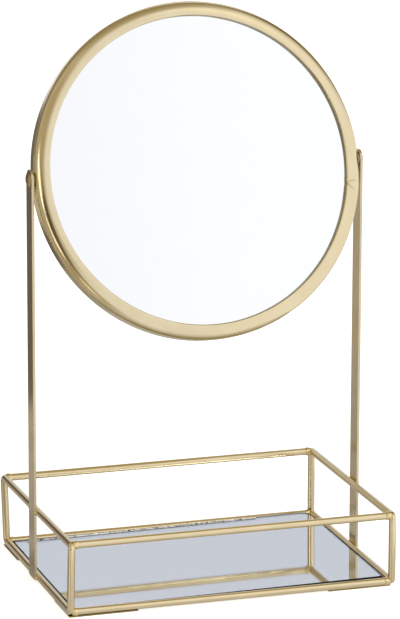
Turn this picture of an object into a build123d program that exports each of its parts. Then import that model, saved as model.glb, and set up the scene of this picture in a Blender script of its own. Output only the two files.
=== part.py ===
from build123d import *
import os

# Tilting table mirror on a wire tray. Millimetres, +Z up, the mirror faces -Y.
# Origin: on the table, under the middle of the tray.

# ---- Mirror head: driving dimensions
ring_outer_radius = 119.7
ring_face_width = 10.7        # from the outer band in to the inner wall
ring_sheet = 0.9              # wall of the formed ring
ring_crown_height = 7.3       # how far the rounded front rises above the outer band
ring_lip_radius = 1.2         # rounding where the front turns into the inner wall
ring_front = 10.4             # foremost line of the ring, in front of the pivot axis
ring_depth = 15.4             # from that line to the crimped back edge
ring_hem_width = 3.4          # back edge rolled inwards over the cover
ring_hem_radius = 1.0
mirror_glass_recess = 3.2     # from the foremost line down to the glass
mirror_glass_thickness = 3.0
mirror_glass_overlap = 4.0    # glass hidden behind the inner wall, all round
glass_seam = 0.4              # small ground chamfer on every glass edge
cover_sheet = 0.8
cover_step = 0.8              # the middle of the cover is pressed back by this much
cover_step_inset = 16.8       # where the step starts, in from the outer band
cover_edge_clearance = 0.3
pad_edge_clearance = 1.0      # foam pad inside the pressed step
mirror_tilt = 17.5            # degrees, leaning back, as it stands
pivot_above_centre = 1.5      # the pivots sit a little above the middle of the ring

# ---- Pivots
pivot_height = 292.0
pivot_gap = 0.6               # between ring and upright
washer_radius = 4.5
washer_play = 0.1             # left free in the gap, half on each side of the washer
screw_radius = 2.0
screw_head_radius = 5.8
screw_head_height = 2.0
screw_head_play = 0.1         # between head and upright
screw_recess_width = 0.9
screw_recess_length = 4.4
screw_recess_depth = 0.9
pivot_running_clearance = 0.06  # radial, screw in upright
thread_clearance = 0.03         # radial, screw in its boss
washer_hole_clearance = 0.1     # radial
boss_radius = 3.0
boss_length = 3.6

# ---- Uprights
upright_width = 14.0
upright_thickness = 2.0
upright_set_back = 2.0        # centre line of the bars, behind the middle of the tray
upright_foot_height = 2.0     # lower end above the table
upright_foot_radius = 2.0
upright_edge_round = 0.35

# ---- Wire tray
wire_diameter = 5.2
hoop_depth = 173.0            # centre line to centre line
hoop_height = 48.4            # centre line to centre line
hoop_bend_radius = 3.0        # centre line
rail_inset = 0.9              # long rails join the bends, this far inside the posts
weld_sink = 0.3               # how far bar and rail ends sink into the wire
bead_reach = 0.9              # flash ring along the rail, from the hoop
bead_stand_off = 0.6          # flash ring proud of the wire
bead_radius = 1.1             # rounding of the flash ring
upright_bead_radius = 1.6

# ---- Tray floor
plate_sheet = 1.0
plate_leg_x = 50.0
plate_leg_y = 38.0
plate_tip = 3.0               # blunt ends of the triangle
pad_thickness = 2.6
pad_radius = 5.0
pad_from_glass_edge = 10.0
tray_glass_thickness = 2.0
tray_glass_gap = 1.8          # between glass edge and wire
tray_glass_corner = 8.0

# ---- Derived places
wire_radius = wire_diameter / 2
upright_inner_x = ring_outer_radius + pivot_gap
upright_outer_x = upright_inner_x + upright_thickness
hoop_x = upright_inner_x + weld_sink - wire_radius
low_rail_z = plate_sheet + wire_radius
high_rail_z = low_rail_z + hoop_height
post_y = hoop_depth / 2
rail_y = post_y - rail_inset
ring_inner_radius = ring_outer_radius - ring_face_width
ring_back = ring_front - ring_depth
band_front = ring_front - ring_crown_height
glass_front = ring_front - mirror_glass_recess
glass_back = glass_front - mirror_glass_thickness
cover_front = ring_back + ring_sheet + cover_sheet
band_inner_radius = ring_outer_radius - ring_sheet
mirror_glass_radius = ring_inner_radius + mirror_glass_overlap
cover_step_radius = band_inner_radius - cover_step_inset
sides = {"left": -1, "right": 1}
ends = {"front": -1, "back": 1}


def in_head(shape):
    """Carry a shape from the ring's own frame (axis on Y, centre at the origin) to its place."""
    lowered = Pos(0, 0, -pivot_above_centre) * shape
    tilted = Rot(-mirror_tilt, 0, 0) * lowered
    return Pos(0, upright_set_back, pivot_height) * tilted


def turned(profile):
    """Turn a closed radius / forward outline about the ring's axis."""
    return revolve(profile, Axis.Y, 360)


def section(*edges):
    return make_face(Wire(list(edges)))


def without(shape, others):
    """The shape with every other shape's room taken out of it."""
    for other in others:
        shape -= other
    return shape


def disc(radius, front, back, seam=0.0):
    """A flat round plate between two places on the ring's axis, its rims seamed."""
    points = [(0, -front), (radius - seam, -front)]
    points += [(radius, -front + seam), (radius, -back - seam)] if seam else [(radius, -back)]
    points += [(radius - seam, -back), (0, -back)] if seam else [(0, -back)]
    return turned(make_face(Polyline(*points, close=True)))


# ---- Mirror head

def mirror_ring():
    """Formed sheet ring: inner wall, rounded front, straight outer band and crimped hem."""
    crown_width = ring_outer_radius - ring_inner_radius - ring_lip_radius
    crown_r = ring_inner_radius + ring_lip_radius
    hem_r = ring_outer_radius - ring_hem_width
    wall_back = ring_inner_radius + ring_sheet
    front, band, back, seat = -ring_front, -band_front, -ring_back, -glass_front
    inside_front = front + ring_sheet
    inside_back = back - ring_sheet
    lip_start = (ring_inner_radius, front + ring_lip_radius)
    hem_start = (ring_outer_radius, back - ring_hem_radius)
    hem_end = (ring_outer_radius - ring_hem_radius, back)
    crown = (crown_r, band)
    outside = EllipticalCenterArc(crown, crown_width, ring_crown_height, start_angle=270, arc_size=90)
    inside = EllipticalCenterArc(
        crown, crown_width - ring_sheet, ring_crown_height - ring_sheet, start_angle=270, arc_size=90
    )
    profile = section(
        Line((ring_inner_radius, seat), lip_start),
        RadiusArc(lip_start, (crown_r, front), ring_lip_radius),
        outside,
        Line((ring_outer_radius, band), hem_start),
        RadiusArc(hem_start, hem_end, ring_hem_radius),
        Line(hem_end, (hem_r, back)),
        Line((hem_r, back), (hem_r, inside_back)),
        Line((hem_r, inside_back), (band_inner_radius, inside_back)),
        Line((band_inner_radius, inside_back), (band_inner_radius, band)),
        inside,
        Line((crown_r, inside_front), (wall_back, inside_front)),
        Line((wall_back, inside_front), (wall_back, seat)),
        Line((wall_back, seat), (ring_inner_radius, seat)),
    )
    ring = turned(profile)
    for side in sides.values():
        ring -= pivot_cylinder(side, screw_radius + washer_hole_clearance, band_inner_radius - 1, upright_inner_x)
    return ring


def pivot_cylinder(side, radius, start, stop):
    """A round bar on the pivot axis, in the ring's own frame, between two distances from its middle."""
    bar = Cylinder(radius, stop - start, align=(Align.CENTER, Align.CENTER, Align.MIN))
    return Pos(side * start, 0, pivot_above_centre) * Rot(0, side * 90, 0) * bar


def mirror_glass():
    return disc(mirror_glass_radius, glass_front, glass_back, glass_seam)


def backing_pad():
    """Foam disc that bonds the glass to the pressed middle of the cover."""
    return disc(cover_step_radius - pad_edge_clearance, glass_back, cover_front - cover_step)


def back_cover():
    """Pressed steel disc, its middle stepped back, its rim held under the hem."""
    rim = band_inner_radius - cover_edge_clearance
    front, back = -cover_front, -cover_front + cover_sheet
    slope = cover_step_radius + 2 * cover_step
    outline = Polyline(
        (0, front + cover_step), (cover_step_radius, front + cover_step), (slope, front), (rim, front),
        (rim, back), (slope, back), (cover_step_radius, back + cover_step), (0, back + cover_step),
        close=True,
    )
    return turned(make_face(outline))


def pivot_boss(side):
    """Threaded boss welded inside the outer band."""
    start = band_inner_radius - boss_length
    boss = pivot_cylinder(side, boss_radius, start, band_inner_radius)
    boss -= pivot_cylinder(side, screw_radius + thread_clearance, start - 1, band_inner_radius + 1)
    inside_of_band = Rot(90, 0, 0) * Cylinder(band_inner_radius, 4 * boss_radius)
    return boss & inside_of_band


def friction_washer(side):
    start = ring_outer_radius + washer_play / 2
    stop = upright_inner_x - washer_play / 2
    washer = pivot_cylinder(side, washer_radius, start, stop)
    return washer - pivot_cylinder(side, screw_radius + washer_hole_clearance, start - 1, stop + 1)


def pivot_screw(side):
    """Domed screw through the upright and the washer into the boss."""
    seat = upright_outer_x + screw_head_play
    crown = seat + screw_head_height
    tip = band_inner_radius - boss_length + ring_sheet / 2
    dome_radius = (screw_head_radius ** 2 + screw_head_height ** 2) / (2 * screw_head_height)
    profile = section(
        Line((tip, 0), (tip, screw_radius)),
        Line((tip, screw_radius), (seat, screw_radius)),
        Line((seat, screw_radius), (seat, screw_head_radius)),
        RadiusArc((seat, screw_head_radius), (crown, 0), dome_radius),
        Line((crown, 0), (tip, 0)),
    )
    screw = revolve(profile, Axis.X, 360)
    for across, along in ((screw_recess_width, screw_recess_length), (screw_recess_length, screw_recess_width)):
        screw -= Pos(crown, 0, 0) * Box(2 * screw_recess_depth, across, along)
    if side < 0:
        screw = mirror(screw, Plane.YZ)
    return Pos(0, 0, pivot_above_centre) * screw


# ---- Stand

def upright(side):
    """Flat bar with a round top at the pivot and a square foot."""
    top = pivot_height
    foot = upright_foot_height
    half = upright_width / 2
    blank = Pos(0, (foot + top) / 2) * Rectangle(upright_width, top - foot)
    blank = fillet(blank.vertices().group_by(Axis.Y)[0], upright_foot_radius)
    outline = blank + Pos(0, top) * Circle(half)
    bar = extrude(Plane.YZ * outline, upright_thickness)
    flat_faces = bar.faces().filter_by(Axis.X)
    bar = fillet([edge for face in flat_faces for edge in face.edges()], upright_edge_round)
    bar = Pos(upright_inner_x if side > 0 else -upright_outer_x, upright_set_back, 0) * bar
    hole = Cylinder(screw_radius + pivot_running_clearance, 4 * upright_outer_x)
    return bar - Pos(0, upright_set_back, pivot_height) * Rot(0, 90, 0) * hole


def hoop(side):
    """Wire bent into a closed upright rectangle with rounded corners."""
    middle = (low_rail_z + high_rail_z) / 2
    outline = RectangleRounded(hoop_depth, hoop_height, hoop_bend_radius).wire()
    path = Pos(side * hoop_x, 0, middle) * (Plane.YZ * outline)
    start = path.edges().filter_by(GeomType.LINE).sort_by(SortBy.LENGTH)[-1]
    profile = Plane(origin=start @ 0.5, z_dir=start % 0.5) * Circle(wire_radius)
    return sweep(profile, path=path) - upright(side)


def rail(end, height, hoops):
    """Straight wire between the two hoops, its ends sunk a little into them."""
    length = 2 * (hoop_x - wire_radius + weld_sink)
    bar = Pos(0, ends[end] * rail_y, height) * Rot(0, 90, 0) * Cylinder(wire_radius, length)
    return without(bar, hoops)


def rail_beads(neighbours):
    """Ring of weld flash round each end of the four long rails."""
    start = hoop_x - wire_radius - bead_reach
    stop = hoop_x
    outer = wire_radius + bead_stand_off
    profile = section(
        Line((start, wire_radius), (stop, wire_radius)),
        Line((stop, wire_radius), (stop, outer)),
        Line((stop, outer), (start + bead_reach, outer)),
        RadiusArc((start + bead_reach, outer), (start, wire_radius), bead_radius),
    )
    ring = revolve(profile, Axis.X, 360)
    rings = {1: ring, -1: mirror(ring, Plane.YZ)}
    beads = []
    for side in sides.values():
        for end in ends.values():
            for height in (low_rail_z, high_rail_z):
                bead = without(Pos(0, end * rail_y, height) * rings[side], neighbours)
                beads.append(bead.solids().sort_by(Axis.X)[0 if side > 0 else -1])
    return Compound(children=beads)


def upright_beads(hoops):
    """Domed weld spots in the corners where the bars cross the side rails."""
    profile = section(
        Line((0, 0), (upright_bead_radius, 0)),
        RadiusArc((upright_bead_radius, 0), (0, upright_bead_radius), -upright_bead_radius),
        Line((0, upright_bead_radius), (0, 0)),
    )
    back_spot = revolve(profile, Axis.Y, 360)
    spots = {1: back_spot, -1: mirror(back_spot, Plane.XZ)}
    beads = []
    for side in sides.values():
        x = side * (upright_inner_x + upright_thickness / 2)
        for end in ends.values():
            y = upright_set_back + end * upright_width / 2
            for height in (low_rail_z, high_rail_z):
                beads += without(Pos(x, y, height) * spots[end], hoops).solids()
    return Compound(children=beads)


def corner_plate(side, end):
    """Thin triangular plate under a corner of the tray; the tray stands on these."""
    outline = Polyline(
        (0, 0), (plate_leg_x, 0), (plate_leg_x, plate_tip), (plate_tip, plate_leg_y), (0, plate_leg_y),
        close=True,
    )
    blank = make_face(outline)
    blank = fillet(blank.vertices().sort_by_distance((0, 0, 0))[0], hoop_bend_radius)
    plate = extrude(blank, plate_sheet)
    if side > 0:
        plate = mirror(plate, Plane.YZ)
    if end > 0:
        plate = mirror(plate, Plane.XZ)
    return Pos(side * hoop_x, end * post_y, 0) * plate


def tray_glass_half_size():
    margin = wire_radius + tray_glass_gap
    return hoop_x - margin, rail_y - margin


def glass_pad(side, end):
    half_x, half_y = tray_glass_half_size()
    x = side * (half_x - pad_from_glass_edge)
    y = end * (half_y - pad_from_glass_edge)
    pad = Cylinder(pad_radius, pad_thickness, align=(Align.CENTER, Align.CENTER, Align.MIN))
    return Pos(x, y, plate_sheet) * pad


def tray_mirror_glass():
    half_x, half_y = tray_glass_half_size()
    blank = RectangleRounded(2 * half_x, 2 * half_y, tray_glass_corner)
    glass = extrude(blank, tray_glass_thickness)
    glass = chamfer(glass.faces().filter_by(Axis.Z).edges(), glass_seam)
    return Pos(0, 0, plate_sheet + pad_thickness) * glass


def build():
    nodes = {
        "mirror_ring": in_head(mirror_ring()),
        "mirror_glass": in_head(mirror_glass()),
        "backing_pad": in_head(backing_pad()),
        "back_cover": in_head(back_cover()),
        "tray_mirror_glass": tray_mirror_glass(),
    }
    hoops = {name: hoop(side) for name, side in sides.items()}
    bars = {name: upright(side) for name, side in sides.items()}
    for name, side in sides.items():
        nodes[f"{name}_pivot_boss"] = in_head(pivot_boss(side))
        nodes[f"{name}_friction_washer"] = in_head(friction_washer(side))
        nodes[f"{name}_pivot_screw"] = in_head(pivot_screw(side))
        nodes[f"{name}_upright"] = bars[name]
        nodes[f"{name}_side_hoop"] = hoops[name]
        for end_name, end in ends.items():
            nodes[f"corner_plate_{end_name}_{name}"] = corner_plate(side, end)
            nodes[f"glass_pad_{end_name}_{name}"] = glass_pad(side, end)
    frame_wires = list(hoops.values())
    for end in ends:
        for level, height in (("top", high_rail_z), ("bottom", low_rail_z)):
            nodes[f"{end}_{level}_rail"] = rail(end, height, frame_wires)
    plates = [shape for node, shape in nodes.items() if node.startswith("corner_plate")]
    nodes["rail_weld_beads"] = rail_beads(frame_wires + plates)
    nodes["upright_weld_beads"] = upright_beads(frame_wires)
    return nodes


os.makedirs("parts", exist_ok=True)
for node, shape in build().items():
    export_step(shape, f"parts/{node}.step")
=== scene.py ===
# %% [markdown]
# # A tilting table mirror on a wire tray
# The real object is a round mirror in a formed metal ring. Two screws let it tilt between two flat
# bars, and the bars are welded to an open wire tray whose floor is a mirror as well. Everything metal
# has the same pale gold plating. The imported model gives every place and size, so this lesson only
# dresses it: it loads the frame, makes the finishes, and rebuilds the pieces that deserve a finer form.

import bpy
import numpy as np
from mathutils import Matrix


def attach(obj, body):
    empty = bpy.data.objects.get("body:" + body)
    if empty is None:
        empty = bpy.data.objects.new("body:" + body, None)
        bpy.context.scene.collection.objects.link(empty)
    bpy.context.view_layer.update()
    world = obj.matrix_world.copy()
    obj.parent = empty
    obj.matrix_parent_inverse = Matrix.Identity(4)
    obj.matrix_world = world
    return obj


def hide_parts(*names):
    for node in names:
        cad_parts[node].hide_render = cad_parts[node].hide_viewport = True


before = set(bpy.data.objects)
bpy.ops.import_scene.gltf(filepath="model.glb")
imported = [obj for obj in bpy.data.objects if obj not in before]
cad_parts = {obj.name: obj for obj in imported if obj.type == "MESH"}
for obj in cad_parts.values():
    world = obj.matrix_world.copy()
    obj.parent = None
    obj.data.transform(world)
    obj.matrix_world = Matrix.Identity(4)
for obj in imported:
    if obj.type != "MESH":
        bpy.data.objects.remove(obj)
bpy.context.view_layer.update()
MM = 0.001                    # every length below is in millimetres and is scaled by this at the end


def new_object(name, data):
    """A new object of the scene for a mesh, a lamp or a camera."""
    made = bpy.data.objects.new(name, data)
    bpy.context.scene.collection.objects.link(made)
    return made


# %% [markdown]
# ## The view
# A product photograph of a small object is taken from a few metres away with a long lens, so that
# upright edges stay nearly parallel. The camera here has the same place as the one in the photograph:
# 2.8 m away, 18 degrees to the left of the mirror's front and 14 degrees above it.

# %% Camera
AIM = np.array([0.0, 0.0, 0.1903])
VIEW_BACK = np.array([-0.29628, -0.92332, 0.24435])
VIEW_RIGHT = np.array([0.95238, -0.30491, 0.00265])
VIEW_UP = np.array([0.07206, 0.23350, 0.96968])
VIEW_DISTANCE = 2.8093
FOCAL_PIXELS = 3957.8
PHOTO_WIDTH, PHOTO_HEIGHT = 400, 619
AXIS_PIXEL = 196.85           # column of the photograph that the lens axis meets


def photo_camera():
    """A camera from an aim point, a distance and three axes; its lens is the focal length in pixels
    times the sensor height over the image height."""
    data = bpy.data.cameras.new("photo_camera")
    data.sensor_fit = "VERTICAL"
    data.sensor_height = 24.0
    data.lens = FOCAL_PIXELS * data.sensor_height / PHOTO_HEIGHT
    data.shift_x = (PHOTO_WIDTH / 2 - AXIS_PIXEL) / PHOTO_HEIGHT
    data.clip_end = 100.0
    camera = new_object("photo_camera", data)
    place = np.eye(4)
    place[:3, 0], place[:3, 1], place[:3, 2] = VIEW_RIGHT, VIEW_UP, VIEW_BACK
    place[:3, 3] = AIM + VIEW_DISTANCE * VIEW_BACK
    camera.matrix_world = Matrix(place.tolist())
    bpy.context.scene.camera = camera
    return camera


camera = photo_camera()
print("lens mm", round(camera.data.lens, 1))

# %% [markdown]
# ## Shader helpers
# A material or a world is a tree of nodes joined by links. Each node is made in one line here: its
# settings are given by name, and an input is either a plain value or the output of another node.

# %% Node helpers
def node(tree, kind, inputs=None, **settings):
    """A new node: settings are its properties, inputs its sockets by name or number."""
    made = tree.nodes.new(kind)
    for name, value in settings.items():
        setattr(made, name, value)
    for name, value in (inputs or {}).items():
        if isinstance(value, bpy.types.NodeSocket):
            tree.links.new(value, made.inputs[name])
        else:
            made.inputs[name].default_value = value
    return made


def maths(tree, operation, first, second=0.0, third=0.0):
    """The output of one Math node."""
    return node(tree, "ShaderNodeMath", {0: first, 1: second, 2: third}, operation=operation).outputs[0]


def ramp_between(tree, value, low, high):
    """0 below low, 1 above high, and a smooth curve between them; high may be under low."""
    settings = {"Value": value, "From Min": low, "From Max": high}
    return node(tree, "ShaderNodeMapRange", settings, interpolation_type="SMOOTHSTEP").outputs["Result"]


def mixed(tree, amount, first, second):
    """The output of one Mix node on colours."""
    return node(tree, "ShaderNodeMix", {0: amount, 6: first, 7: second}, data_type="RGBA").outputs[2]


def new_material(name):
    """A new material, its tree of nodes and the shader in it."""
    material = bpy.data.materials.new(name)
    material.use_nodes = True
    return material, material.node_tree, material.node_tree.nodes["Principled BSDF"]


# %% [markdown]
# ## The studio
# Polished metal shows almost nothing but what stands around it, so the room matters as much as the
# material. The world is a soft white studio drawn by direction: bright to the front and the right,
# dim behind and above, and a dark gap left of the front with one upright strip of light past it.
# Each lamp, wall or gap of the room is a round patch with soft edges, and a later patch lies over the
# earlier ones.

# %% World
def toward(azimuth, elevation):
    """Unit vector of a direction: azimuth 0 is -Y, the mirror's front, and 90 is +X; elevation is up."""
    a, e = np.radians(azimuth), np.radians(elevation)
    return (float(np.sin(a) * np.cos(e)), float(-np.cos(a) * np.cos(e)), float(np.sin(e)))


PATCHES = [               # colour, azimuth and elevation of the centre, radii where it is full and where it ends
    ((1.18, 1.14, 1.06), (38, 46), 7, 15),          # softbox at the front right
    ((0.20, 0.15, 0.075), (138, 24), 10, 34),       # dim back right, with two lighter screens in it
    ((0.95, 0.92, 0.86), (160, 30), 12, 20),
    ((0.67, 0.69, 0.76), (164, 13), 11, 19),
    ((0.50, 0.455, 0.39), (-118, -14), 40, 58),     # the left side, low and then high
    ((0.50, 0.43, 0.28), (-55, 32), 16, 44),
    ((0.42, 0.36, 0.22), (-52, -28), 10, 34),
    ((0.10, 0.075, 0.03), (-44, 0), 6, 26),         # the dark gap
    ((0.50, 0.45, 0.36), (-175, -38), 15, 35),
    ((2.40, 2.30, 2.05), (-67, 17), 4, 9),          # the strip of light, from high to low
    ((2.60, 2.50, 2.20), (-64, 5), 3, 7),
    ((3.00, 2.85, 2.50), (-61, -6), 2, 4),
    ((2.60, 2.45, 2.15), (-58, -15), 3, 7),
    ((2.20, 2.05, 1.80), (-56, 14), 2, 6),
    ((1.50, 1.40, 1.20), (-46, -34), 3, 7),
    ((0.66, 0.60, 0.48), (-17, 5), 3, 10),          # a dimmer spot beside the camera
]


def studio_world():
    """The colour of the room as a function of direction: a base colour, and patches mixed over it whose
    edges are smooth curves of the cosine of the angle from each patch's centre."""
    world = bpy.data.worlds.new("studio")
    world.use_nodes = True
    tree = world.node_tree
    tree.nodes.clear()
    direction = node(tree, "ShaderNodeTexCoord").outputs["Generated"]
    parts = node(tree, "ShaderNodeSeparateXYZ", {0: direction}).outputs
    to_right = ramp_between(tree, parts[0], 0.235, 0.33)
    colour = mixed(tree, to_right, (0.955, 0.955, 0.985, 1.0), (1.03, 1.03, 1.03, 1.0))
    overhead = ramp_between(tree, parts[2], 0.80, 0.98)
    colour = mixed(tree, overhead, colour, (0.50, 0.445, 0.32, 1.0))
    high = ramp_between(tree, parts[2], 0.18, 0.50)
    back_half = ramp_between(tree, parts[1], -0.40, 0.50)
    colour = mixed(tree, maths(tree, "MULTIPLY", high, back_half), colour, (0.34, 0.285, 0.15, 1.0))
    for patch_colour, centre, full, end in PATCHES:
        dot = node(tree, "ShaderNodeVectorMath", {0: direction, 1: toward(*centre)}, operation="DOT_PRODUCT")
        amount = ramp_between(tree, dot.outputs["Value"], *np.cos(np.radians([end, full])))
        colour = mixed(tree, amount, colour, (*patch_colour, 1.0))
    background = node(tree, "ShaderNodeBackground", {"Color": colour, "Strength": 1.0})
    node(tree, "ShaderNodeOutputWorld", {"Surface": background.outputs[0]})
    bpy.context.scene.world = world


studio_world()
bpy.context.scene.view_settings.view_transform = "Standard"
bpy.context.scene.view_settings.look = "None"
print("world nodes", len(bpy.context.scene.world.node_tree.nodes))

# %% [markdown]
# A large softbox high on the right gives the tray and the foot of each post their faint shadows. The
# floor is plain white paper. Glossy rays pass it by, because metal that mirrored it would glare. They
# meet an acrylic sheet that glows with painted floor light and shade, and a dark card instead, which
# the camera doesn't see: a photographer sets such cards round polished metal to draw the dark and
# light lines that show its form.

# %% Lamp
def softbox(name, place, target, size, power):
    """A square area lamp at a place, turned so that its -Z axis points at the target."""
    data = bpy.data.lights.new(name, "AREA")
    data.shape = "SQUARE"
    data.size = size
    data.energy = power
    lamp = new_object(name, data)
    z = np.array(place, float) - np.array(target, float)
    z /= np.linalg.norm(z)
    x = np.cross([0, 0, 1], z)
    x /= np.linalg.norm(x)
    matrix = np.eye(4)
    matrix[:3, 0], matrix[:3, 1], matrix[:3, 2], matrix[:3, 3] = x, np.cross(z, x), z, place
    lamp.matrix_world = Matrix(matrix.tolist())
    return lamp


key = softbox("key_softbox", (1.3, -1.2, 1.9), (0, 0, 0.1), 1.2, 16.0)
key.visible_glossy = False
print("key softbox", key.data.size, "m,", key.data.energy, "W")


# %% Floor and cards
def only_reflected(card):
    """Hides a card from every kind of ray except the glossy ones."""
    for kind in ("camera", "diffuse", "transmission", "shadow"):
        setattr(card, f"visible_{kind}", False)


def white_floor():
    """One flat square under the object, far wider than the view."""
    half = 30.0
    mesh = bpy.data.meshes.new("floor")
    corners = [(-half, -half, 0), (half, -half, 0), (half, half, 0), (-half, half, 0)]
    mesh.from_pydata(corners, [], [(0, 1, 2, 3)])
    floor = new_object("floor", mesh)
    material, tree, shader = new_material("floor_paper")
    shader.inputs["Base Color"].default_value = (0.92, 0.92, 0.92, 1.0)
    shader.inputs["Roughness"].default_value = 1.0
    shader.inputs["Specular IOR Level"].default_value = 0.0
    shader.inputs["Emission Color"].default_value = (1.0, 1.0, 1.0, 1.0)
    shader.inputs["Emission Strength"].default_value = 0.68
    mesh.materials.append(material)
    floor.visible_glossy = False
    return floor


def glossy_sheet():
    """An oval sheet of white acrylic on the floor under the tray, longer at the back. Only reflections
    see it: a glow of painted floor light, brighter in front and dimmer at the back, with painted shade
    along the left side where the left wires shade the floor, plus a share of the room mirrored in its
    shine."""
    turn = np.linspace(0, 2 * np.pi, 64, endpoint=False)
    longer = np.where(turn < np.pi, 2.2, 1.0)
    rim = 0.24 * np.stack([np.cos(turn), np.sin(turn) * longer, np.full(64, 0.001)], 1)
    mesh = bpy.data.meshes.new("acrylic_sheet")
    mesh.from_pydata(rim.tolist(), [], [list(range(64))])
    sheet = new_object("acrylic_sheet", mesh)
    material, tree, shader = new_material("acrylic_painted_floor_light")
    tree.nodes.remove(shader)
    place = node(tree, "ShaderNodeTexCoord").outputs["Object"]
    x, y, z = node(tree, "ShaderNodeSeparateXYZ", {0: place}).outputs
    at_back, at_front = ramp_between(tree, y, 0.09, 0.14), ramp_between(tree, y, -0.12, -0.18)
    # painted shade: the glow is dimmed along the left side, where the left wires shade the floor
    painted_shade_left = maths(tree, "MULTIPLY", ramp_between(tree, x, -0.115, -0.14), ramp_between(tree, y, -0.08, -0.05))
    painted_shade_left = maths(tree, "MULTIPLY", painted_shade_left, ramp_between(tree, y, 0.08, 0.04))
    painted_light_strength = maths(tree, "MULTIPLY_ADD", at_back, -0.15, 0.40)
    painted_light_strength = maths(tree, "MULTIPLY_ADD", at_front, 0.12, painted_light_strength)
    painted_light_strength = maths(tree, "MULTIPLY_ADD", painted_shade_left, -0.22, painted_light_strength)
    # painted light: this glow stands for the lit floor as reflections see it
    own = node(tree, "ShaderNodeEmission", {"Color": (1.0, 0.98, 0.95, 1.0), "Strength": painted_light_strength})
    shine = node(tree, "ShaderNodeBsdfGlossy", {"Color": (0.30, 0.30, 0.30, 1.0), "Roughness": 0.08})
    both = node(tree, "ShaderNodeAddShader", {0: own.outputs[0], 1: shine.outputs[0]})
    tree.links.new(both.outputs[0], tree.nodes["Material Output"].inputs["Surface"])
    mesh.materials.append(material)
    only_reflected(sheet)
    return sheet


def black_flag():
    """An upright dark card at the back left. Only reflections see it: it darkens the left side of the
    left bar, of the left wires and of the ring."""
    left, right, depth, low, high = -0.75, -0.13, 0.30, 0.045, 0.60
    mesh = bpy.data.meshes.new("black_flag")
    corners = [(left, depth, low), (right, depth, low), (right, depth, high), (left, depth, high)]
    mesh.from_pydata(corners, [], [(0, 1, 2, 3)])
    flag = new_object("black_flag", mesh)
    material, tree, shader = new_material("black_card")
    shader.inputs["Base Color"].default_value = (0.02, 0.02, 0.02, 1.0)
    shader.inputs["Roughness"].default_value = 1.0
    shader.inputs["Emission Color"].default_value = (1.0, 0.88, 0.75, 1.0)
    shader.inputs["Emission Strength"].default_value = 0.13
    mesh.materials.append(material)
    only_reflected(flag)
    return flag


floor = white_floor()
sheet = glossy_sheet()
flag = black_flag()
for staged in (floor, sheet, flag):
    print(staged.name, [round(side, 2) for side in staged.dimensions])

# %% [markdown]
# ## Finishes
# The plating is a thin, pale gold layer on steel. It is bright, but it was brushed before it was
# plated and has been handled since, so its gloss is a little uneven and it carries very fine marks.
# Grain like this is wanted on several finishes, so it is a node group with named inputs.

# %% Grain group
def grain_group():
    """Cloudy unevenness and fine marks from two noise textures on object coordinates: Cloud is 0 to 1
    over centimetres, Marks is 0 to 1 over tenths of a millimetre."""
    group = bpy.data.node_groups.new("handled_grain", "ShaderNodeTree")
    for name, size in (("Cloud Size", 60.0), ("Mark Size", 2500.0)):
        socket = group.interface.new_socket(name, in_out="INPUT", socket_type="NodeSocketFloat")
        socket.default_value = size
    for name in ("Cloud", "Marks"):
        group.interface.new_socket(name, in_out="OUTPUT", socket_type="NodeSocketFloat")
    inside = node(group, "NodeGroupInput").outputs
    place = node(group, "ShaderNodeTexCoord").outputs["Object"]
    cloud = node(group, "ShaderNodeTexNoise", {"Vector": place, "Scale": inside[0], "Detail": 3.0})
    marks = node(group, "ShaderNodeTexNoise", {"Vector": place, "Scale": inside[1], "Detail": 2.0})
    soft_cloud = ramp_between(group, cloud.outputs[0], 0.35, 0.65)
    node(group, "NodeGroupOutput", {"Cloud": soft_cloud, "Marks": marks.outputs[0]})
    return group


GRAIN = grain_group()
print("group", GRAIN.name)

# %% Plated gold
def plating(name, colour, deep_colour, gloss, dull, bump=0.02, painted_crease_shade=None):
    """A metal whose colour and roughness drift between two values with the cloud of the grain group, and
    whose fine marks tilt the surface very slightly. A painted crease shade colour, darker than the
    plating, is mixed in by the mesh's own attribute called crease."""
    material, tree, shader = new_material(name)
    grain = node(tree, "ShaderNodeGroup", node_tree=GRAIN).outputs
    tint = mixed(tree, grain["Cloud"], (*colour, 1.0), (*deep_colour, 1.0))
    # painted shade: where the crease attribute is set, the colour is darkened towards the crease shade colour
    if painted_crease_shade:
        crease = node(tree, "ShaderNodeAttribute", attribute_name="crease").outputs["Fac"]
        tint = mixed(tree, crease, tint, (*painted_crease_shade, 1.0))
    rough = node(tree, "ShaderNodeMapRange", {"Value": grain["Cloud"], "To Min": gloss, "To Max": dull})
    relief = node(tree, "ShaderNodeBump", {"Height": grain["Marks"], "Strength": bump, "Distance": 0.0002})
    tree.links.new(tint, shader.inputs["Base Color"])
    tree.links.new(rough.outputs["Result"], shader.inputs["Roughness"])
    tree.links.new(relief.outputs[0], shader.inputs["Normal"])
    shader.inputs["Metallic"].default_value = 1.0
    return material


GOLD = plating("plated_gold", (0.79, 0.68, 0.45), (0.77, 0.655, 0.425), 0.15, 0.19, bump=0.003)
# the ring's finish carries a painted shade colour for its seam crease
GOLD_RING = plating("plated_ring", (0.79, 0.68, 0.45), (0.77, 0.655, 0.425), 0.15, 0.19, bump=0.003,
                    painted_crease_shade=(0.34, 0.27, 0.13))
GOLD_WIRE = plating("plated_wire", (0.80, 0.67, 0.435), (0.77, 0.64, 0.40), 0.15, 0.19, bump=0.004)
# painted shade: a dark copy of the plating for the corner plates, which lie in shade under the glass and the wires
GOLD_PLATE_SHADE = plating("plated_plate_painted_shade", (0.38, 0.28, 0.12), (0.32, 0.23, 0.10), 0.30, 0.42)
# painted highlight: a lighter, yellower copy of the plating for the welds and pivot bosses; their lower roughness
# is their own
GOLD_WELD_HIGHLIGHT = plating("plated_weld_painted_highlight", (0.86, 0.70, 0.38), (0.80, 0.64, 0.33), 0.13, 0.20, bump=0.02)
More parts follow.
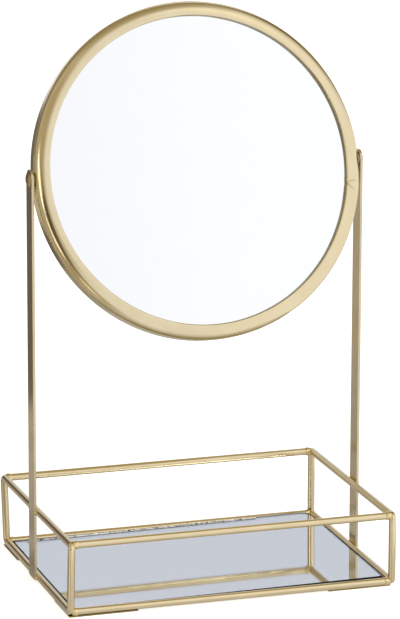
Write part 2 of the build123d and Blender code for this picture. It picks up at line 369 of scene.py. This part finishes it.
# painted shade: the flat bars take a darker copy of the plating; their rougher gloss is their own
GOLD_BAR_SHADE = plating("plated_bar_painted_shade", (0.68, 0.58, 0.39), (0.65, 0.55, 0.36), 0.22, 0.28, bump=0.01)
# painted shade: a dark copy of the plating for the ring's inner wall, the recess round the glass
GOLD_WALL_SHADE = plating("plated_inner_wall_painted_shade", (0.27, 0.22, 0.125), (0.22, 0.18, 0.10), 0.25, 0.35, bump=0.02)
GOLD_SCREW = plating("plated_screw", (0.74, 0.61, 0.38), (0.66, 0.53, 0.31), 0.16, 0.26)
GOLD_COVER = plating("plated_cover", (0.74, 0.60, 0.36), (0.70, 0.56, 0.33), 0.26, 0.36)
print("plated finishes ready")

# %% [markdown]
# A mirror is glass with a layer of silver behind it. The big mirror shows only its front face, so one
# reflecting surface does it. The tray's mirror is seen at a low angle, where the glass dims what it
# mirrors, so it gets real glass above a silvered lower face. Its ground edge looks nearly black.

# %% Mirror, glass and small parts
def plain(name, colour, roughness, metallic=0.0, spread=0.07):
    """A finish whose colour drifts by the share spread with the cloud of the grain group."""
    material, tree, shader = new_material(name)
    grain = node(tree, "ShaderNodeGroup", node_tree=GRAIN)
    darker = tuple((1 - spread) * c for c in colour)
    tint = mixed(tree, grain.outputs["Cloud"], (*colour, 1.0), (*darker, 1.0))
    tree.links.new(tint, shader.inputs["Base Color"])
    shader.inputs["Roughness"].default_value = roughness
    shader.inputs["Metallic"].default_value = metallic
    return material


SILVER = plain("silvered_glass", (0.96, 0.972, 0.98), 0.008, 1.0, spread=0.004)
TRAY_SILVER = plain("tray_silvering", (0.90, 0.905, 0.91), 0.012, 1.0, spread=0.01)
NYLON = plain("nylon", (0.80, 0.77, 0.70), 0.45)
CLEAR_PAD = plain("clear_pad", (0.70, 0.72, 0.72), 0.35)
FOAM = plain("foam_tape", (0.85, 0.84, 0.80), 0.85)


def tray_glass_finish():
    """Clear glass, very slightly green."""
    material, tree, shader = new_material("tray_glass")
    shader.inputs["Base Color"].default_value = (0.96, 0.98, 0.97, 1.0)
    shader.inputs["Roughness"].default_value = 0.0
    shader.inputs["IOR"].default_value = 1.52
    shader.inputs["Transmission Weight"].default_value = 1.0
    return material


TRAY_GLASS = tray_glass_finish()
GROUND_EDGE = plain("ground_edge", (0.03, 0.035, 0.033), 0.4)
DARK_EDGE = plain("dark_edge", (0.012, 0.014, 0.015), 0.4)
CHIPPED = plain("chipped_edge", (0.95, 0.96, 0.97), 0.45, spread=0.02)
print("materials", len(bpy.data.materials))

# %% Finishes for the CAD nodes
NODE_FINISH = {
    "upright": GOLD_BAR_SHADE, "corner_plate": GOLD_PLATE_SHADE, "pivot_screw": GOLD_SCREW, "pivot_boss": GOLD_WELD_HIGHLIGHT,
    "friction_washer": NYLON, "glass_pad": CLEAR_PAD, "backing_pad": FOAM, "back_cover": GOLD_COVER,
    "mirror_glass": SILVER, "mirror_ring": GOLD, "hoop": GOLD, "rail": GOLD, "weld_beads": GOLD_WELD_HIGHLIGHT,
}


def finish_nodes():
    """Each CAD node takes the finish whose word is in its name."""
    for name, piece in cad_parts.items():
        for word, material in NODE_FINISH.items():
            if word in name:
                piece.data.materials.clear()
                piece.data.materials.append(material)


finish_nodes()
print("nodes finished", len(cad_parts))

# %% [markdown]
# ## Surfaces from grids
# Every new piece is a sheet of points: one direction runs along the piece, the other round it. The
# helper turns such a sheet into a mesh. It always closes round the piece, and along it where asked.

# %% Grid helper
def grid_piece(name, points, body, node_names, material, close_rows=True, smooth=True):
    """Mesh from an array of points with shape (rows, columns, 3), in metres. Neighbours in the array make
    the four-sided faces. The last column joins the first, and the last row either joins the first or
    both get a cap."""
    rows, columns = points.shape[:2]
    index = np.arange(rows * columns).reshape(rows, columns)
    next_row = np.roll(index, -1, 0) if close_rows else index[1:]
    this_row = index if close_rows else index[:-1]
    quads = np.stack([this_row, np.roll(this_row, -1, 1), np.roll(next_row, -1, 1), next_row], -1)
    faces = quads.reshape(-1, 4).tolist()
    if not close_rows:
        faces += [index[0, ::-1].tolist(), index[-1].tolist()]
    mesh = bpy.data.meshes.new(name)
    mesh.from_pydata(points.reshape(-1, 3).tolist(), [], faces)
    mesh.validate()
    mesh.update()
    mesh.materials.append(material)
    mesh.polygons.foreach_set("use_smooth", [smooth and len(face) == 4 for face in faces])
    piece = new_object(name, mesh)
    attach(piece, body)
    if node_names:
        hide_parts(*node_names)
    return piece


def volume_of(piece):
    """Signed volume of a closed mesh in cubic millimetres: positive when its faces point outwards."""
    mesh = piece.data
    mesh.calc_loop_triangles()
    corner = np.empty(len(mesh.loop_triangles) * 3, np.int32)
    mesh.loop_triangles.foreach_get("vertices", corner)
    place = np.empty(len(mesh.vertices) * 3)
    mesh.vertices.foreach_get("co", place)
    a, b, c = place.reshape(-1, 3)[corner.reshape(-1, 3)].transpose(1, 0, 2)
    return float(np.einsum("ij,ij->i", a, np.cross(b, c)).sum() / 6 / MM ** 3)


# %% [markdown]
# ## The ring
# The real ring is a strip of thin sheet, rolled to a rounded section, bent to a circle and joined at
# the right. Where the crown meets the outer band the sheet keeps a fine ridge, which catches a line of
# light. The join shows as a small forked crease where the inner edge is notched. A turned profile gives
# the ring, and the crease and the slightly flat side are small shifts of the same points.

# %% Ring profile
RING_OUTER = 119.7            # radii
RING_INNER = 109.0
RING_FRONT = 10.4             # distances forward of the pivot plane
RING_BACK = -5.0
GLASS_FRONT = 7.2
CROWN = 7.3                   # height of the crown's arc
LIP = 1.2                     # radius of the inner edge
SHEET = 0.9
HEM_WIDTH = 3.4               # the sheet is turned in at the back
HEM_ROUND = 1.0
HEM_EDGE = 0.18
RIDGE_ROUND = 0.42            # radius of the ridge, and where it starts on the crown's arc in degrees
RIDGE_TURN = 14.0
WALL_POINTS = 10              # points of the profile that lie on the inner wall


def arc(centre, radii, start, stop, count):
    """Points of an elliptical arc: centre plus radii times cosine and sine of an angle in degrees."""
    angle = np.radians(np.linspace(start, stop, count))
    return np.stack([centre[0] + radii[0] * np.cos(angle), centre[1] + radii[1] * np.sin(angle)], 1)


def line(start, stop, count):
    """Evenly spaced points from start to just before stop."""
    share = np.linspace(0, 1, count, endpoint=False)[:, None]
    return (1 - share) * np.array(start, float) + share * np.array(stop, float)


def ring_profile():
    """Closed outline of the sheet as radius and forward distance: up the inner wall, over the crown,
    back along the band, round the hem, and home along the inside of the sheet."""
    crown_r = RING_INNER + LIP
    crown_width = RING_OUTER - crown_r
    band_front = RING_FRONT - CROWN
    ridge_r = RING_OUTER - RIDGE_ROUND
    ridge_front = band_front + CROWN * np.sin(np.radians(RIDGE_TURN)) - RIDGE_ROUND
    hem_r = RING_OUTER - HEM_WIDTH
    corner, low, high = hem_r + HEM_EDGE, RING_BACK + HEM_EDGE, RING_BACK + SHEET - HEM_EDGE
    under, hem_top = RING_OUTER - SHEET, RING_BACK + SHEET
    return np.concatenate([
        line((RING_INNER, GLASS_FRONT), (RING_INNER, RING_FRONT - LIP), 7),
        arc((crown_r, RING_FRONT - LIP), (LIP, LIP), 180, 90, 9)[:-1],
        arc((crown_r, band_front), (crown_width, CROWN), 90, RIDGE_TURN, 34),
        arc((ridge_r, ridge_front), (RIDGE_ROUND, RIDGE_ROUND), 78, 0, 8),
        line((RING_OUTER, ridge_front - 0.3), (RING_OUTER, RING_BACK + HEM_ROUND), 8),
        arc((RING_OUTER - HEM_ROUND, RING_BACK + HEM_ROUND), (HEM_ROUND, HEM_ROUND), 0, -90, 7),
        line((RING_OUTER - HEM_ROUND - 0.3, RING_BACK), (corner, RING_BACK), 4),
        arc((corner, low), (HEM_EDGE, HEM_EDGE), -90, -180, 4),
        arc((corner, high), (HEM_EDGE, HEM_EDGE), 180, 90, 4),
        line((hem_r + 0.6, hem_top), (under, hem_top), 4),
        line((under, hem_top), (under, band_front), 4),
        arc((crown_r, band_front), (crown_width - SHEET, CROWN - SHEET), 0, 90, 16),
        line((RING_INNER + SHEET, RING_FRONT - SHEET - 0.3), (RING_INNER + SHEET, GLASS_FRONT), 4),
        np.array([(RING_INNER + SHEET, GLASS_FRONT)]),
    ])


profile = ring_profile()
print("ring profile points", len(profile))

# %% Ring with its seam
PIVOT_Y, PIVOT_Z = 2.0, 292.0
PIVOT_ABOVE_CENTRE = 1.5
TILT = np.radians(17.5)
SEAM_ANGLE = -8.9             # degrees from the ring's right, and the reach of the finely divided part
SEAM_REACH = 5
FLAT_WIDTH = 24               # the side near the seam is pressed in over this many degrees,
PRESSED_IN = 0.8, 0.35        # this far at the inner and at the outer edge


def into_head(across, up, forward):
    """Carries points of the ring's own frame, in millimetres, to their place: lowered under the pivot
    axis, leaned back by the tilt, and lifted to the pivots. Returns metres."""
    up = up - PIVOT_ABOVE_CENTRE
    y = PIVOT_Y - forward * np.cos(TILT) + up * np.sin(TILT)
    z = PIVOT_Z + forward * np.sin(TILT) + up * np.cos(TILT)
    return np.stack([across + 0 * y, y, z], -1) * MM


def across_ring(radius):
    """0 at the inner edge and 1 at the outer."""
    return np.clip((radius - RING_INNER) / (RING_OUTER - RING_INNER), 0, 1)


def fork(angle, radius, width):
    """Strength of the crease from 0 to 1: two branches that meet at the notch in the inner edge and part
    towards the outside. Each is a bell curve across the ring, and fades along its length."""
    along = across_ring(radius)
    upper = SEAM_ANGLE + 0.6 + 2.2 * along - 1.0 * along ** 2
    lower = SEAM_ANGLE + 0.2 - 3.4 * along
    fade = np.clip(2.2 - 3.2 * along, 0, 1)
    branches = np.exp(-((angle - upper) / width) ** 2) + np.exp(-((angle - lower) / width) ** 2)
    return np.clip(branches, 0, 1) * fade


def notch(angle, radius):
    """Bell curve over the inner edge where the two ends of the strip meet."""
    return np.exp(-((angle - SEAM_ANGLE) / 0.5) ** 2) * np.clip(1 - 4.0 * across_ring(radius), 0, 1)


def outer_skin(radius, forward):
    """1 on the side of the sheet that is seen, 0 on its inside and its back, with short ramps between."""
    on_wall = np.clip((forward - GLASS_FRONT - 0.3) / 1.2, 0, 1) * (radius < RING_INNER + 0.5)
    on_crown = np.clip((radius - RING_INNER - 0.3) / 0.6, 0, 1) * (forward > RING_BACK + 6)
    return np.maximum(on_wall, on_crown)


def ring_points():
    """The profile turned about the ring's axis, and the painted shade of the crease at each point. Angles
    are closer together near the seam. The side with the seam is pressed in by a bell curve, and the
    radius drifts by a few hundredths: 0.05 sin(3a + 0.4) + 0.04 sin(7a + 1.9)."""
    coarse = np.arange(-180, 180, 0.9)
    coarse = coarse[(coarse < SEAM_ANGLE - SEAM_REACH) | (coarse > SEAM_ANGLE + SEAM_REACH)]
    fine = np.arange(SEAM_ANGLE - SEAM_REACH, SEAM_ANGLE + SEAM_REACH + 0.01, 0.1)
    angle = np.sort(np.concatenate([coarse, fine]))[:, None]
    turn = np.radians(angle)
    radius, forward = profile[:, 0][None], profile[:, 1][None]
    pressed = np.interp(radius, [RING_INNER, RING_OUTER], PRESSED_IN)
    flat_side = np.exp(-((angle - SEAM_ANGLE) / FLAT_WIDTH) ** 2) * pressed
    drift = 0.05 * np.sin(3 * turn + 0.4) + 0.04 * np.sin(7 * turn + 1.9)
    dent = (0.30 * fork(angle, radius, 0.34) + 0.45 * notch(angle, radius)) * outer_skin(radius, forward)
    reach = radius - flat_side + drift
    # painted shade: a darker colour along the two branches of the crease and at the notch
    painted_crease_shade = 0.55 * fork(angle, radius, 0.30) + 0.5 * notch(angle, radius)
    return into_head(reach * np.cos(turn), reach * np.sin(turn), forward - dent), np.clip(painted_crease_shade, 0, 1)


ring_grid, ring_crease_shade = ring_points()
ring = grid_piece("ring", ring_grid, "mirror_head", ["mirror_ring"], GOLD_RING)
# the crease attribute carries the painted shade of the seam
crease = ring.data.attributes.new("crease", "FLOAT", "POINT")
crease.data.foreach_set("value", ring_crease_shade.ravel().astype(np.float32))


def paint_inner_wall_shade(piece):
    """The faces between the first points of the profile take the inner wall's finish: a dark copy of the plating,
    painted shade in the recess round the glass.
    """
    piece.data.materials.append(GOLD_WALL_SHADE)
    column = np.arange(len(piece.data.polygons)) % len(profile)
    piece.data.polygons.foreach_set("material_index", (column < WALL_POINTS).astype(np.int32))


paint_inner_wall_shade(ring)
print("ring faces", len(ring.data.polygons), "volume", round(volume_of(ring)))

# %% [markdown]
# ## The wire tray
# Each side of the tray is a hoop of round wire, bent at four corners and closed. Four straight wires
# join the two hoops. A wire is a circle carried along a path, so one helper makes them all. Wire frames
# are bent and welded by hand, and the left hoop of this one is a little twisted.

# %% Wires
WIRE = 2.6                    # radius of the wire
HOOP_X = 118.0
POST_Y = 86.5
RAIL_Y = 85.6
LOW_Z, HIGH_Z = 3.6, 52.0
BEND = 3.0
LEAN_BACK, LEAN_FRONT = 1.6, 0.9      # how far the left hoop leans out at its back top and its front foot


def swept_circle(path, along, radius, count=40):
    """Points of a tube: each path point plus radius times a circle in the plane square to along. The
    side vector of that plane is X, or Y where the path itself runs along X."""
    side = np.array([0.0, 1.0, 0.0]) if abs(along[0][0]) > 0.9 else np.array([1.0, 0.0, 0.0])
    other = np.cross(along, side)
    turn = np.linspace(0, 2 * np.pi, count, endpoint=False)[None, :, None]
    radius = np.broadcast_to(np.asarray(radius, float), (len(path), count))[..., None]
    return path[:, None] + radius * (np.cos(turn) * side + np.sin(turn) * other[:, None])


def left_lean(y, z):
    """How far the left hoop stands out to the left at a point of it, in millimetres."""
    back = np.clip((y + POST_Y) / (2 * POST_Y), 0, 1)
    up = np.clip((z - LOW_Z) / (HIGH_Z - LOW_Z), 0, 1)
    return LEAN_BACK * back * up + LEAN_FRONT * (1 - back) * (1 - up)


def hoop_path(x):
    """A rectangle with rounded corners in the plane at x: four quarter arcs joined by straight runs,
    with the direction of travel at each point. The left one leans."""
    mid, half_z, half_y = (LOW_Z + HIGH_Z) / 2, (HIGH_Z - LOW_Z) / 2, POST_Y
    turns = []
    for quarter, (sy, sz) in enumerate(((1, 1), (-1, 1), (-1, -1), (1, -1))):
        angle = np.radians(np.linspace(0, 90, 13) + 90 * quarter)
        centre = np.array([sy * (half_y - BEND), mid + sz * (half_z - BEND)])
        turns.append(np.stack([centre[0] + BEND * np.cos(angle), centre[1] + BEND * np.sin(angle), angle], 1))
    y, z, angle = np.concatenate(turns).T
    path = np.stack([x - (x < 0) * left_lean(y, z), y, z], 1)
    along = np.stack([0 * angle, -np.sin(angle), np.cos(angle)], 1)
    return path, along


wires = []
for side, x in (("left", -HOOP_X), ("right", HOOP_X)):
    path, along = hoop_path(x)
    wires.append(grid_piece(f"{side}_hoop_wire", swept_circle(path, along, WIRE) * MM, "stand",
                            [f"{side}_side_hoop"], GOLD_WIRE))
for end, y in (("front", -RAIL_Y), ("back", RAIL_Y)):
    for level, z in (("top", HIGH_Z), ("bottom", LOW_Z)):
        stop = HOOP_X - WIRE + 0.6
        left = -stop - left_lean(y, z)
        x = np.concatenate([[left], np.linspace(left + 0.05, stop - 0.05, 12), [stop]])     # close at the ends
        path = np.stack([x, np.full(14, y), np.full(14, z)], 1)
        along = np.tile([1.0, 0.0, 0.0], (14, 1))
        wires.append(grid_piece(f"{end}_{level}_wire", swept_circle(path, along, WIRE) * MM, "stand",
                                [f"{end}_{level}_rail"], GOLD_WIRE, close_rows=False))
print("wires", len(wires), "volumes", [round(volume_of(w)) for w in wires])

# %% [markdown]
# ## Welds
# Every wire end is resistance-welded, which leaves a small uneven collar of metal, and the bars are
# tacked to the wires with drops of weld. A collar is a short tube whose radius swells and wanders; a
# drop is a ball whose radius wanders. Each has its own seed, so no two are alike.

# %% Weld collars
def wander(seed, turn, along, strength):
    """Smooth uneven shift: a few low waves round and along, with sizes and phases from the seed."""
    chance = np.random.default_rng(seed)
    total = 0.0
    for waves_round, waves_along in ((1, 1), (2, 0), (2, 2), (3, 1), (5, 2)):
        size, phase = chance.normal(0, 1), chance.uniform(0, 2 * np.pi)
        total = total + size * np.sin(waves_round * turn + waves_along * along + phase) / (waves_round + 1)
    return strength * total


def collar_points(seed, side, y, z):
    """A tube round the wire's axis from inside the hoop to 3 mm along the wire. Its radius is the wire's
    plus a hump that sinks into the wire at the far end, plus the uneven shift."""
    share = np.linspace(0, 1, 14)[:, None]
    turn = np.linspace(0, 2 * np.pi, 36, endpoint=False)[None]
    x = HOOP_X - 0.9 - 4.7 * share + (side < 0) * left_lean(y, z)
    hump = 0.55 * np.sin(np.pi * share ** 1.3) ** 0.6 * (1 + wander(seed, turn, 5 * share, 0.30))
    radius = WIRE - 0.14 + hump
    x = x + wander(seed + 50, turn, 4 * share, 0.16)
    points = np.stack([side * x, y + radius * np.cos(turn) * side, z + radius * np.sin(turn)], -1)
    return points[::-1]


def joined(name, sheets, body, nodes, material):
    """One piece from several capped tubes of points."""
    vertices, faces, start = [], [], 0
    for points in sheets:
        rows, columns = points.shape[:2]
        index = start + np.arange(rows * columns).reshape(rows, columns)
        turned = np.roll(index, -1, 1)
        quads = np.stack([index[:-1], turned[:-1], turned[1:], index[1:]], -1).reshape(-1, 4)
        faces += quads.tolist() + [index[0, ::-1].tolist(), index[-1].tolist()]
        vertices.append(points.reshape(-1, 3))
        start += rows * columns
    mesh = bpy.data.meshes.new(name)
    mesh.from_pydata(np.concatenate(vertices).tolist(), [], faces)
    mesh.validate()
    mesh.update()
    mesh.polygons.foreach_set("use_smooth", [True] * len(mesh.polygons))
    mesh.materials.append(material)
    piece = new_object(name, mesh)
    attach(piece, body)
    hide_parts(*nodes)
    return piece


joints = [(side, y, z) for side in (-1, 1) for y in (-RAIL_Y, RAIL_Y) for z in (LOW_Z, HIGH_Z)]
collars = [collar_points(10 + number, *joint) * MM for number, joint in enumerate(joints)]
weld_collars = joined("weld_collars", collars, "stand", ["rail_weld_beads"], GOLD_WELD_HIGHLIGHT)
print("collar volume", round(volume_of(weld_collars)))

# %% Weld drops at the bars
BAR_INNER = 120.3             # inner face of the bar, the middle of its width, and half its width
BAR_Y = 2.0
BAR_HALF = 7.0
DROP = 1.45                   # radius of a drop


def drop_points(seed, x, y, z, size):
    """A ball as rows of latitude: radius times the cosine and sine of latitude and longitude, with the
    uneven shift on the radius."""
    latitude = np.radians(np.linspace(-86, 86, 16))[:, None]
    turn = np.linspace(0, 2 * np.pi, 28, endpoint=False)[None]
    radius = size * (1 + wander(seed, turn, 2 * latitude, 0.10) * np.cos(latitude))
    level = radius * np.cos(latitude)
    return np.stack([x + level * np.cos(turn), y + level * np.sin(turn), z + 1.15 * radius * np.sin(latitude)], -1)


tacks = [(side * (BAR_INNER + 0.8), BAR_Y + end * (BAR_HALF + 0.15), z)
         for side in (-1, 1) for end in (-1, 1) for z in (LOW_Z, HIGH_Z)]
drops = [drop_points(90 + number, *tack, DROP) * MM for number, tack in enumerate(tacks)]
weld_drops = joined("weld_drops", drops, "stand", ["upright_weld_beads"], GOLD_WELD_HIGHLIGHT)
print("drop volume", round(volume_of(weld_drops)))

# %% [markdown]
# ## The corner plates
# Under each corner of the tray sits a thin triangle of sheet, cut with shears and welded to the wires.
# It carries the soft pad on which the mirror plate rests. The left ones stick out from under the wire,
# so each has its own small shift, taken from where its edge shows.

# %% Corner plates
PLATE_SHEET = 1.0
PLATE_ROUND = 0.12            # the faces are drawn in by this much
PLATE_OUTLINE = np.array([(0, 0), (50, 0), (50, 3), (3, 38), (0, 38)], float)     # from the corner inwards
PLATE_PLACES = {              # side and end: shift outwards to the side and to the end, share of the length
    (-1, -1): (1.9, 0.6, 1.0), (-1, 1): (2.2, 0.5, 1.0), (1, -1): (-0.7, -0.5, 0.93), (1, 1): (0, 0, 1.0)}


def plate_points(side, end):
    """The outline at four heights, drawn in on the lower and on the upper face, in its place."""
    middle = PLATE_OUTLINE.mean(0)
    out, beyond, share = PLATE_PLACES[side, end]
    levels = ((PLATE_ROUND, 0.0), (0.0, PLATE_ROUND), (0.0, PLATE_SHEET - PLATE_ROUND), (PLATE_ROUND, PLATE_SHEET))
    rings = []
    for inset, z in levels:
        ring = PLATE_OUTLINE - inset * np.sign(PLATE_OUTLINE - middle)
        x, y = side * (HOOP_X + out - share * ring[:, 0]), end * (POST_Y + beyond - ring[:, 1])
        rings.append(np.stack([x, y, np.full(len(x), z)], -1))
    rings = np.stack(rings)
    return rings if side * end > 0 else rings[:, ::-1]


plates = joined("corner_plates", [plate_points(s, e) * MM for s in (-1, 1) for e in (-1, 1)], "stand",
                [f"corner_plate_{end}_{side}" for end in ("front", "back") for side in ("left", "right")],
                GOLD_PLATE_SHADE)
plates.data.polygons.foreach_set("use_smooth", [False] * len(plates.data.polygons))
print("plates volume", round(volume_of(plates)))

# %% [markdown]
# ## The tray's mirror
# The floor of the tray is a cut plate of 2 mm mirror with rounded corners. Its edges are only seamed
# with a stone, so they are dark and uneven. Rings of points follow the rounded outline at several
# heights. The plate was cut slightly out of square and lies a little askew on its pads, which shows in
# the width of the dark line along each edge, so the same small shift is applied to all its points.

# %% Tray mirror
TRAY_GLASS_X, TRAY_GLASS_Y = 114.6, 81.2
TRAY_CORNERS = 8.0, 3.0, 4.0, 4.0     # radii: back right, back left, front left, front right
TRAY_BASE, TRAY_TOP = 3.62, 5.6
TRAY_SINK = 0.20              # the plate has settled this far into its soft pads
RISE_RIGHT = 0.005            # and rises to the right by this slope,
OUT_OF_SQUARE = 0.004, 0.008  # its sides and its ends are cut out of square by these slopes,
PLATE_LEFT = 0.45             # and it has slid this far to the left


def laid_askew(points):
    """Skews points of the plate by the two slopes, slides them, lowers them by the settling, and adds
    the rise times the distance to the right."""
    x = points[..., 0] + OUT_OF_SQUARE[0] * points[..., 1] - PLATE_LEFT
    y = points[..., 1] + OUT_OF_SQUARE[1] * points[..., 0]
    return np.stack([x, y, points[..., 2] - TRAY_SINK + RISE_RIGHT * x], -1)


def rounded_outline(step=0.8):
    """Points and outward normals of a rectangle with rounded corners, about evenly spaced: a quarter arc
    and then the straight run to the next one, four times."""
    points, normals = [], []
    half = np.array([TRAY_GLASS_X, TRAY_GLASS_Y])
    signs = (1, 1), (-1, 1), (-1, -1), (1, -1)
    for quarter, (sign, radius) in enumerate(zip(signs, TRAY_CORNERS)):
        angle = np.radians(np.linspace(0, 90, 17) + 90 * quarter)
        normal = np.stack([np.cos(angle), np.sin(angle)], 1)
        points.append((half - radius) * sign + radius * normal)
        normals.append(normal)
        run = 2 * half[quarter % 2] - radius - TRAY_CORNERS[(quarter + 1) % 4]
        share = np.arange(step, run - step / 2, step)[:, None]
        along = np.array([-normal[-1][1], normal[-1][0]])
        points.append(points[-1][-1] + share * along)
        normals.append(np.tile(normal[-1], (len(share), 1)))
    return np.concatenate(points), np.concatenate(normals)


def tray_mirror():
    """Four closed rings of points: lower face, lower edge, upper edge and upper face. The seamed edge is
    0.22 to 0.32 mm wide, and at one point in fourteen a chip makes it 0.35 mm wider. The upper face is
    clear glass, the lower is silvered, and the rest is ground, darkest at the front right."""
    outline, normal = rounded_outline()
    chance = np.random.default_rng(4)
    seam = 0.22 + 0.10 * chance.random(len(outline)) + 0.35 * (chance.random(len(outline)) > 0.93)
    inner = outline - seam[:, None] * normal
    rings = [(inner, TRAY_BASE), (outline, TRAY_BASE + 0.25), (outline, TRAY_TOP - 0.7 * seam), (inner, TRAY_TOP)]
    points = np.stack([np.column_stack([ring, np.broadcast_to(level, len(ring))]) for ring, level in rings])
    piece = grid_piece("tray_mirror", laid_askew(points) * MM, "stand", ["tray_mirror_glass"],
                       TRAY_GLASS, close_rows=False, smooth=False)
    for material in (TRAY_SILVER, GROUND_EDGE, DARK_EDGE):
        piece.data.materials.append(material)
    edge_faces = 3 * len(outline)
    slots = np.full(len(piece.data.polygons), 2, np.int32)
    slots[:edge_faces] += np.tile((normal[:, 1] < -0.8) & (outline[:, 0] > 0), 3)
    slots[edge_faces:] = [1 if face.normal.z < 0 else 0 for face in piece.data.polygons[edge_faces:]]
    piece.data.polygons.foreach_set("material_index", slots)
    return piece


tray_mirror_piece = tray_mirror()
print("tray mirror volume", round(volume_of(tray_mirror_piece)))

# %% [markdown]
# The back edge was broken to size rather than ground, and light catches on its facets. They are a thin
# separate strip, because each facet is either frosted, dark or silvered.

# %% Chips along the back edge
CHIPS_START, CHIPS_END = -106, 80
FADE_END, FADE_LENGTH = 90, 60        # the chips get flatter over this length, up to this x
STRIP_EDGES = -3.1, -2.0, -1.0, -0.5  # lines along the strip, back from the plate's edge
STRIP_SKIN, STRIP_FOOT = 0.01, -0.15  # heights over the plate's face: edges of the strip and its underside


def edge_chips():
    """A thin strip of broken facets on the back edge of the plate: six points round it, placed at uneven
    steps along it. The two inner points of its top are lifted by random heights that fade to the right."""
    chance = np.random.default_rng(12)
    x = CHIPS_START + np.cumsum(chance.uniform(0.7, 2.6, 104))
    x = x[x < CHIPS_END]
    fade = np.clip((FADE_END - x) / FADE_LENGTH, 0.15, 1)
    lift = 0.03 + chance.uniform(0.0, 0.42, (len(x), 2)) * fade[:, None]
    across = chance.uniform(-0.35, 0.35, (len(x), 2))
    flat = np.zeros(len(x))
    front, inner, outer, back = STRIP_EDGES
    y = np.column_stack([flat + front, inner + across[:, 0], outer + across[:, 1], flat + back, flat + back,
                         flat + front])
    y = TRAY_GLASS_Y - np.clip((60 - x[:, None]) / 130, 0, 1) + y
    z = np.column_stack([flat + STRIP_SKIN, lift, flat + STRIP_SKIN, flat + STRIP_FOOT, flat + STRIP_FOOT])
    points = laid_askew(np.stack([np.broadcast_to(x[:, None], y.shape), y, TRAY_TOP + z], -1))
    piece = grid_piece("edge_chips", points[::-1] * MM, "stand", [], CHIPPED, close_rows=False,
                       smooth=False)
    for material in (DARK_EDGE, TRAY_SILVER):
        piece.data.materials.append(material)
    kinds = chance.choice([0, 1, 2], size=len(piece.data.polygons), p=[0.50, 0.16, 0.34])
    piece.data.polygons.foreach_set("material_index", kinds.astype(np.int32))
    piece.visible_glossy = False            # keeps their glare off the underside of the wire above
    return piece


chips = edge_chips()
print("chips volume", round(volume_of(chips), 1))

# %% [markdown]
# Between each corner plate and the mirror plate is a small clear bumper, the kind that is sold for
# cabinet doors. It is a disc that follows the slope of the plate above it.

# %% Pads under the plate
PAD_X, PAD_Y = 103.6, 71.2
PAD_RADIUS, PAD_BULGE = 4.8, 0.25


def pad_points(side, end):
    """A soft disc from the corner plate up to the mirror: its radius grows by the bulge times the sine
    of pi times the share of the height."""
    share = np.linspace(0, 1, 7)[:, None]
    turn = np.linspace(0, 2 * np.pi, 48, endpoint=False)[None]
    radius = PAD_RADIUS + PAD_BULGE * np.sin(np.pi * share)
    x, y = side * PAD_X + radius * np.cos(turn), end * PAD_Y + radius * np.sin(turn)
    under = laid_askew(np.stack([x, y, np.full_like(x, TRAY_BASE - 0.03)], -1))[..., 2]
    return np.stack([x, y, PLATE_SHEET + share * (under - PLATE_SHEET)], -1)


pads = joined("glass_pads", [pad_points(s, e) * MM for s in (-1, 1) for e in (-1, 1)], "stand",
              [f"glass_pad_{end}_{side}" for end in ("front", "back") for side in ("left", "right")],
              CLEAR_PAD)
print("pads volume", round(volume_of(pads)))
